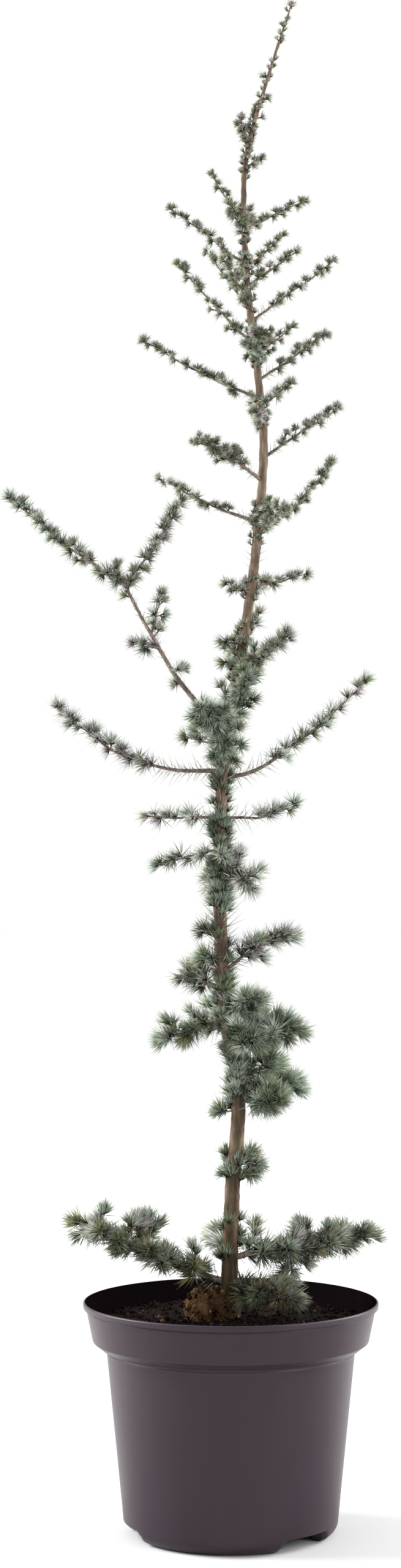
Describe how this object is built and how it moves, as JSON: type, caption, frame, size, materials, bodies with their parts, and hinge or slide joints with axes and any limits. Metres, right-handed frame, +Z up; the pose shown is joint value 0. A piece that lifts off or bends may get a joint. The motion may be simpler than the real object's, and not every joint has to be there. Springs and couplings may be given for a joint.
{
  "type": "potted cedar tree",
  "caption": "Young blue cedar in a round plastic nursery pot: a slender, gently winding trunk with thin upswept boughs and tufts of blue-green needles, in soil just below the rim.",
  "frame": {"origin": "centre of the pot's flat underside, on the surface that it stands on", "axes": "+Z up towards the leader, +X to the plant's right as seen from its front, -Y towards its front"},
  "size_m": [0.3689, 0.279, 1.442],
  "materials": {
    "pot": "satin moulded plastic, dark plum brown",
    "soil": "moist dark potting soil with crumbs",
    "root_fibre": "matted brown fibre of the old root ball",
    "bark": "grey brown young bark",
    "foliage": "blue-green needles"
  },
  "bodies": {
    "root": {"pot": "pot", "soil": "soil", "soil_mound": "root_fibre", "trunk": "bark", "bough_crown_left": "bark", "bough_crown_right": "bark", "bough_forked_left": "bark", "bough_front_left": "bark", "bough_high_left": "bark", "bough_high_right": "bark", "bough_long_left": "bark", "bough_long_right": "bark", "bough_low_left": "bark", "bough_low_right": "bark", "bough_lower_left": "bark", "bough_lower_right": "bark", "bough_middle_left": "bark", "bough_middle_right": "bark", "bough_slender_left": "bark", "bough_slender_right": "bark", "bough_upswept_left": "bark", "foliage_blue_front": "foliage", "foliage_broad_back": "foliage", "foliage_crown_left": "foliage", "foliage_crown_right": "foliage", "foliage_dense_right": "foliage", "foliage_drooping_left": "foliage", "foliage_forked_inner": "foliage", "foliage_forked_outer": "foliage", "foliage_forked_tuft": "foliage", "foliage_front_left": "foliage", "foliage_green_front": "foliage", "foliage_heavy_front": "foliage", "foliage_heavy_right": "foliage", "foliage_high_left": "foliage", "foliage_high_right": "foliage", "foliage_inner_left": "foliage", "foliage_leader": "foliage", "foliage_long_left": "foliage", "foliage_long_right": "foliage", "foliage_low_back": "foliage", "foliage_low_front": "foliage", "foliage_low_left": "foliage", "foliage_low_right": "foliage", "foliage_lower_left": "foliage", "foliage_lower_right": "foliage", "foliage_middle_left": "foliage", "foliage_middle_right": "foliage", "foliage_short_front": "foliage", "foliage_short_left": "foliage", "foliage_short_right": "foliage", "foliage_slender_left": "foliage", "foliage_slender_right": "foliage", "foliage_small_pair": "foliage", "foliage_top_whorl": "foliage", "foliage_tufts": "foliage", "foliage_upper_pair": "foliage", "foliage_upswept_left": "foliage", "foliage_upswept_right": "foliage"}
  },
  "joints": []
}
